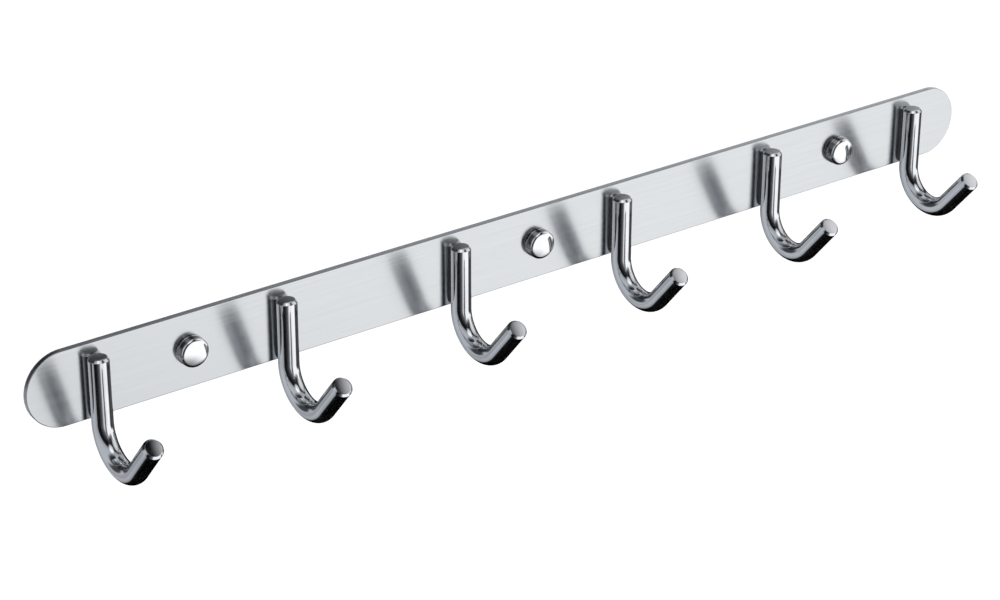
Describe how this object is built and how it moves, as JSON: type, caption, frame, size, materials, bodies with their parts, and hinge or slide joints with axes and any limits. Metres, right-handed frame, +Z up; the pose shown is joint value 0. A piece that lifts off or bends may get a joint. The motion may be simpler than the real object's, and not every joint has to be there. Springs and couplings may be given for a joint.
{
  "type": "wall hook rack",
  "caption": "Wall hook rack: a flat brushed steel backplate with round ends, a row of polished round-bar J hooks, and domed screw-on caps over the wall screws.",
  "frame": {"origin": "centre of the backplate's back face, where it meets the wall", "axes": "+X along the backplate, +Y into the wall, +Z up; the hooks point along -Y"},
  "size_m": [0.45, 0.0683, 0.0486],
  "materials": {
    "plate_steel": "stainless steel brushed along its length",
    "hook_steel": "polished stainless steel bar",
    "cap_chrome": "bright chromed cap and base",
    "screw_steel": "plain stainless steel fastener"
  },
  "bodies": {
    "rack": {"back_plate": "plate_steel", "hook_1": "hook_steel", "hook_2": "hook_steel", "hook_3": "hook_steel", "hook_4": "hook_steel", "hook_5": "hook_steel", "hook_6": "hook_steel", "hook_screw_1_upper": "screw_steel", "hook_screw_1_lower": "screw_steel", "hook_screw_2_upper": "screw_steel", "hook_screw_2_lower": "screw_steel", "hook_screw_3_upper": "screw_steel", "hook_screw_3_lower": "screw_steel", "hook_screw_4_upper": "screw_steel", "hook_screw_4_lower": "screw_steel", "hook_screw_5_upper": "screw_steel", "hook_screw_5_lower": "screw_steel", "hook_screw_6_upper": "screw_steel", "hook_screw_6_lower": "screw_steel", "cap_base_1": "cap_chrome", "cap_base_2": "cap_chrome", "cap_base_3": "cap_chrome", "wall_screw_1": "screw_steel", "wall_screw_2": "screw_steel", "wall_screw_3": "screw_steel"},
    "cap_left": {"cap_1": "cap_chrome"},
    "cap_middle": {"cap_2": "cap_chrome"},
    "cap_right": {"cap_3": "cap_chrome"}
  },
  "joints": [
    {"name": "cap_left_unscrew", "type": "slide", "parent": "rack", "child": "cap_left", "axis": [0, -1, 0], "range_m": [0, 0.05]},
    {"name": "cap_middle_unscrew", "type": "slide", "parent": "rack", "child": "cap_middle", "axis": [0, -1, 0], "range_m": [0, 0.05]},
    {"name": "cap_right_unscrew", "type": "slide", "parent": "rack", "child": "cap_right", "axis": [0, -1, 0], "range_m": [0, 0.05]}
  ]
}
